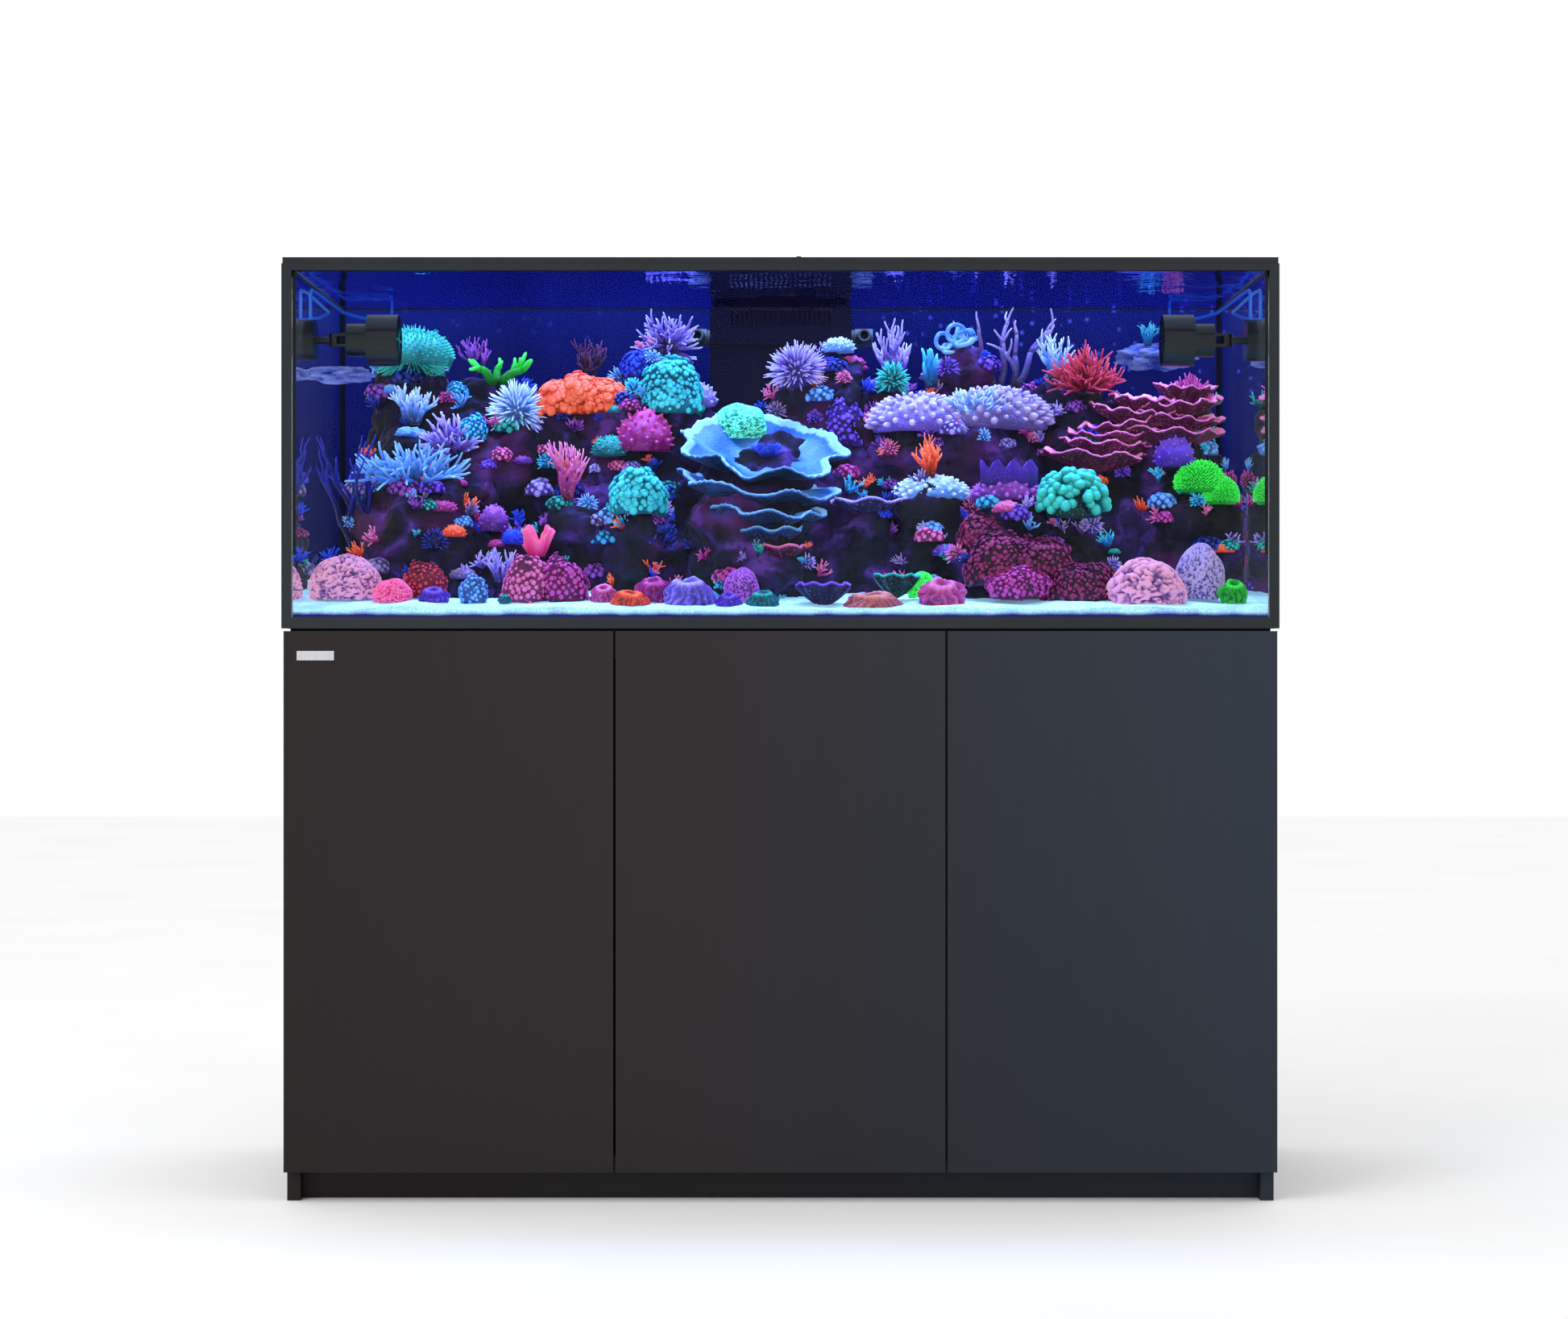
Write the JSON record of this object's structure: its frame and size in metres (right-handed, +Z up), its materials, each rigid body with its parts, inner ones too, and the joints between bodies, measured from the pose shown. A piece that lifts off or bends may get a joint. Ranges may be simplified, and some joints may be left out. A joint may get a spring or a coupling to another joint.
{
  "type": "aquarium on stand",
  "caption": "Glass reef aquarium with dark top and bottom frames on a handle-less three-door cabinet with sump, pumps and plumbing",
  "frame": {"origin": "middle of the footprint, on the floor", "axes": "+X right seen from the front, +Y to the back, +Z up"},
  "size_m": [1.5, 0.6, 1.4232],
  "materials": {
    "laminate": "satin dark grey laminate",
    "cabinet_board": "pale melamine board",
    "foam": "dense foam mat",
    "hinge_steel": "plated steel",
    "black_plastic": "moulded",
    "grey_plastic": "moulded",
    "badge_metal": "plain satin plate",
    "glass": "clear float glass",
    "back_film": "glass with opaque blue film",
    "silicone": "black silicone",
    "frame_plastic": "satin extrusion",
    "pvc": "grey pipe",
    "red_plastic": "moulded",
    "hose": "flexible tube",
    "felt": "needle felt",
    "sand": "fine aragonite sand",
    "rock": "porous reef rock",
    "coral": "living coral"
  },
  "bodies": {
    "stand_and_tank": {"back_pane": "back_film", "base_pane": "glass", "bottom_frame": "frame_plastic", "bulkheads": "pvc", "cabinet_back": "cabinet_board", "cabinet_bottom": "cabinet_board", "cabinet_front_rails": "cabinet_board", "cabinet_left_side": "laminate", "cabinet_partition": "cabinet_board", "cabinet_right_side": "laminate", "cabinet_top": "cabinet_board", "corals_left": "coral", "corals_right": "coral", "corner_uprights": "frame_plastic", "door_hinge_arms": "hinge_steel", "drain_pipes": "pvc", "filter_tray": "grey_plastic", "frag_shelves": "rock", "front_pane": "glass", "gate_valve": "pvc", "latch_bodies": "black_plastic", "left_pane": "glass", "levelling_mat": "foam", "overflow_box": "black_plastic", "plinth_board": "laminate", "pump_controllers": "black_plastic", "return_hose": "hose", "return_manifold": "pvc", "return_pump": "black_plastic", "right_pane": "glass", "rockwork": "rock", "sand_bed": "sand", "silicone_seams": "silicone", "standpipes": "pvc", "sump_baffles": "glass", "sump_tank": "glass", "top_frame_corners": "frame_plastic", "top_frame_rails": "frame_plastic", "wave_pump_cables": "hose", "wave_pump_mounts": "black_plastic"},
    "left_door": {"left_door": "laminate", "left_door_hinge_leaves": "hinge_steel", "door_badge": "badge_metal"},
    "middle_door": {"middle_door": "laminate", "middle_door_hinge_leaves": "hinge_steel"},
    "right_door": {"right_door": "laminate", "right_door_hinge_leaves": "hinge_steel"},
    "left_plunger": {"left_latch_plunger": "grey_plastic"},
    "middle_plunger": {"middle_latch_plunger": "grey_plastic"},
    "right_plunger": {"right_latch_plunger": "grey_plastic"},
    "comb": {"overflow_comb": "black_plastic"},
    "handwheel": {"valve_handwheel": "red_plastic"},
    "nozzle_left": {"return_nozzle_left": "pvc"},
    "nozzle_right": {"return_nozzle_right": "pvc"},
    "pump_left": {"wave_pump_left": "black_plastic"},
    "pump_right": {"wave_pump_right": "black_plastic"},
    "impeller_left": {"propeller_left": "grey_plastic"},
    "impeller_right": {"propeller_right": "grey_plastic"},
    "cup_left": {"filter_cup_left": "felt"},
    "cup_right": {"filter_cup_right": "felt"}
  },
  "joints": [
    {"name": "left_door_swing", "type": "hinge", "parent": "stand_and_tank", "child": "left_door", "pos_m": [-0.74, -0.2915, 0.453], "axis": [0, 0, -1], "range_deg": [0, 95]},
    {"name": "middle_door_swing", "type": "hinge", "parent": "stand_and_tank", "child": "middle_door", "pos_m": [0.2408, -0.2915, 0.453], "axis": [0, 0, 1], "range_deg": [0, 95]},
    {"name": "right_door_swing", "type": "hinge", "parent": "stand_and_tank", "child": "right_door", "pos_m": [0.74, -0.2915, 0.453], "axis": [0, 0, 1], "range_deg": [0, 95]},
    {"name": "left_latch_push", "type": "slide", "parent": "stand_and_tank", "child": "left_plunger", "axis": [0, -1, 0], "range_m": [0, 0.01]},
    {"name": "middle_latch_push", "type": "slide", "parent": "stand_and_tank", "child": "middle_plunger", "axis": [0, -1, 0], "range_m": [0, 0.01]},
    {"name": "right_latch_push", "type": "slide", "parent": "stand_and_tank", "child": "right_plunger", "axis": [0, -1, 0], "range_m": [0, 0.01]},
    {"name": "comb_lift", "type": "slide", "parent": "stand_and_tank", "child": "comb", "axis": [0, 0, 1], "range_m": [0, 0.06]},
    {"name": "handwheel_turn", "type": "hinge", "parent": "stand_and_tank", "child": "handwheel", "pos_m": [-0.07, 0.137, 0.674], "axis": [0, -1, 0], "continuous": true},
    {"name": "nozzle_left_tilt", "type": "hinge", "parent": "stand_and_tank", "child": "nozzle_left", "pos_m": [-0.1373, 0.215, 1.35], "axis": [1, 0, 0], "range_deg": [-30, 30]},
    {"name": "pump_left_swivel", "type": "hinge", "parent": "stand_and_tank", "child": "pump_left", "pos_m": [-0.69, -0.15, 1.311], "axis": [0, 0, 1], "range_deg": [-30, 30]},
    {"name": "propeller_left_spin", "type": "hinge", "parent": "pump_left", "child": "impeller_left", "pos_m": [-0.618, -0.15, 1.311], "axis": [1, 0, 0], "continuous": true},
    {"name": "cup_left_lift", "type": "slide", "parent": "stand_and_tank", "child": "cup_left", "axis": [0, 0, 1], "range_m": [0, 0.06]},
    {"name": "nozzle_right_tilt", "type": "hinge", "parent": "stand_and_tank", "child": "nozzle_right", "pos_m": [0.1373, 0.215, 1.35], "axis": [1, 0, 0], "range_deg": [-30, 30]},
    {"name": "pump_right_swivel", "type": "hinge", "parent": "stand_and_tank", "child": "pump_right", "pos_m": [0.69, -0.15, 1.311], "axis": [0, 0, 1], "range_deg": [-30, 30]},
    {"name": "propeller_right_spin", "type": "hinge", "parent": "pump_right", "child": "impeller_right", "pos_m": [0.618, -0.15, 1.311], "axis": [-1, 0, 0], "continuous": true},
    {"name": "cup_right_lift", "type": "slide", "parent": "stand_and_tank", "child": "cup_right", "axis": [0, 0, 1], "range_m": [0, 0.06]}
  ],
  "couplings": [
    {"joint": "left_latch_push", "follows": "left_door_swing", "m_per_rad": 0.006},
    {"joint": "middle_latch_push", "follows": "middle_door_swing", "m_per_rad": 0.006},
    {"joint": "right_latch_push", "follows": "right_door_swing", "m_per_rad": 0.006}
  ]
}
